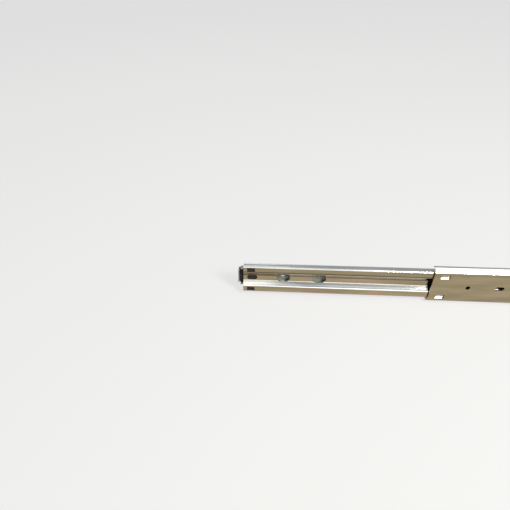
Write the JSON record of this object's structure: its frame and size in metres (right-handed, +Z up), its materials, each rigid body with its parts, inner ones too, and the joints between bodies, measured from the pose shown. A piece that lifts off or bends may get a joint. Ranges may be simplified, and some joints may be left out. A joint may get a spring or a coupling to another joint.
{
  "type": "drawer slide",
  "caption": "Full-extension ball-bearing drawer slide with three nested rolled steel members, caged balls, lanced stops and a release lever.",
  "frame": {"origin": "on the cabinet member's mounting face, at mid height of its front end", "axes": "+X from the front to the rear along the slide, +Y from the cabinet wall to the drawer, +Z up"},
  "size_m": [0.606, 0.0127, 0.0456],
  "materials": {
    "member_zinc": "bright zinc plate with a warm passivate, rolled along the slide",
    "cage_zinc": "thin bright zinc plated strip",
    "ball_steel": "polished bearing steel",
    "rivet_steel": "zinc plated rivets",
    "black_acetal": "moulded black acetal",
    "black_rubber": "matt black rubber"
  },
  "bodies": {
    "cabinet": {"cabinet_member": "member_zinc", "closing_detent": "black_acetal", "detent_rivets": "rivet_steel", "closing_bumper_top": "black_rubber", "closing_bumper_bottom": "black_rubber"},
    "outer_cage": {"outer_ball_cage": "cage_zinc", "outer_balls_top": "ball_steel", "outer_balls_bottom": "ball_steel"},
    "intermediate": {"intermediate_member": "member_zinc", "front_stop_block": "black_acetal", "intermediate_bumper": "black_rubber"},
    "inner_cage": {"inner_ball_cage": "cage_zinc", "inner_balls_top": "ball_steel", "inner_balls_bottom": "ball_steel"},
    "drawer": {"drawer_member": "member_zinc", "front_bumper": "black_rubber", "cage_stop_rivets": "rivet_steel", "lever_pin": "rivet_steel"},
    "lever": {"release_lever": "black_acetal"}
  },
  "joints": [
    {"name": "intermediate_slide", "type": "slide", "parent": "cabinet", "child": "intermediate", "axis": [-1, 0, 0], "range_m": [-0.2, 0]},
    {"name": "outer_cage_slide", "type": "slide", "parent": "cabinet", "child": "outer_cage", "axis": [-1, 0, 0], "range_m": [-0.1, 0]},
    {"name": "drawer_slide", "type": "slide", "parent": "intermediate", "child": "drawer", "axis": [-1, 0, 0], "range_m": [0, 0.2045]},
    {"name": "inner_cage_slide", "type": "slide", "parent": "intermediate", "child": "inner_cage", "axis": [-1, 0, 0], "range_m": [0, 0.10225]},
    {"name": "release_lever_pivot", "type": "hinge", "parent": "drawer", "child": "lever", "pos_m": [0.059, 0.0103, 0], "axis": [0, -1, 0], "range_deg": [0, 7], "stiffness_Nm_per_rad": 0.1, "springref_deg": -2.86}
  ],
  "couplings": [
    {"joint": "outer_cage_slide", "follows": "intermediate_slide", "ratio": 0.5},
    {"joint": "inner_cage_slide", "follows": "drawer_slide", "ratio": 0.5}
  ]
}
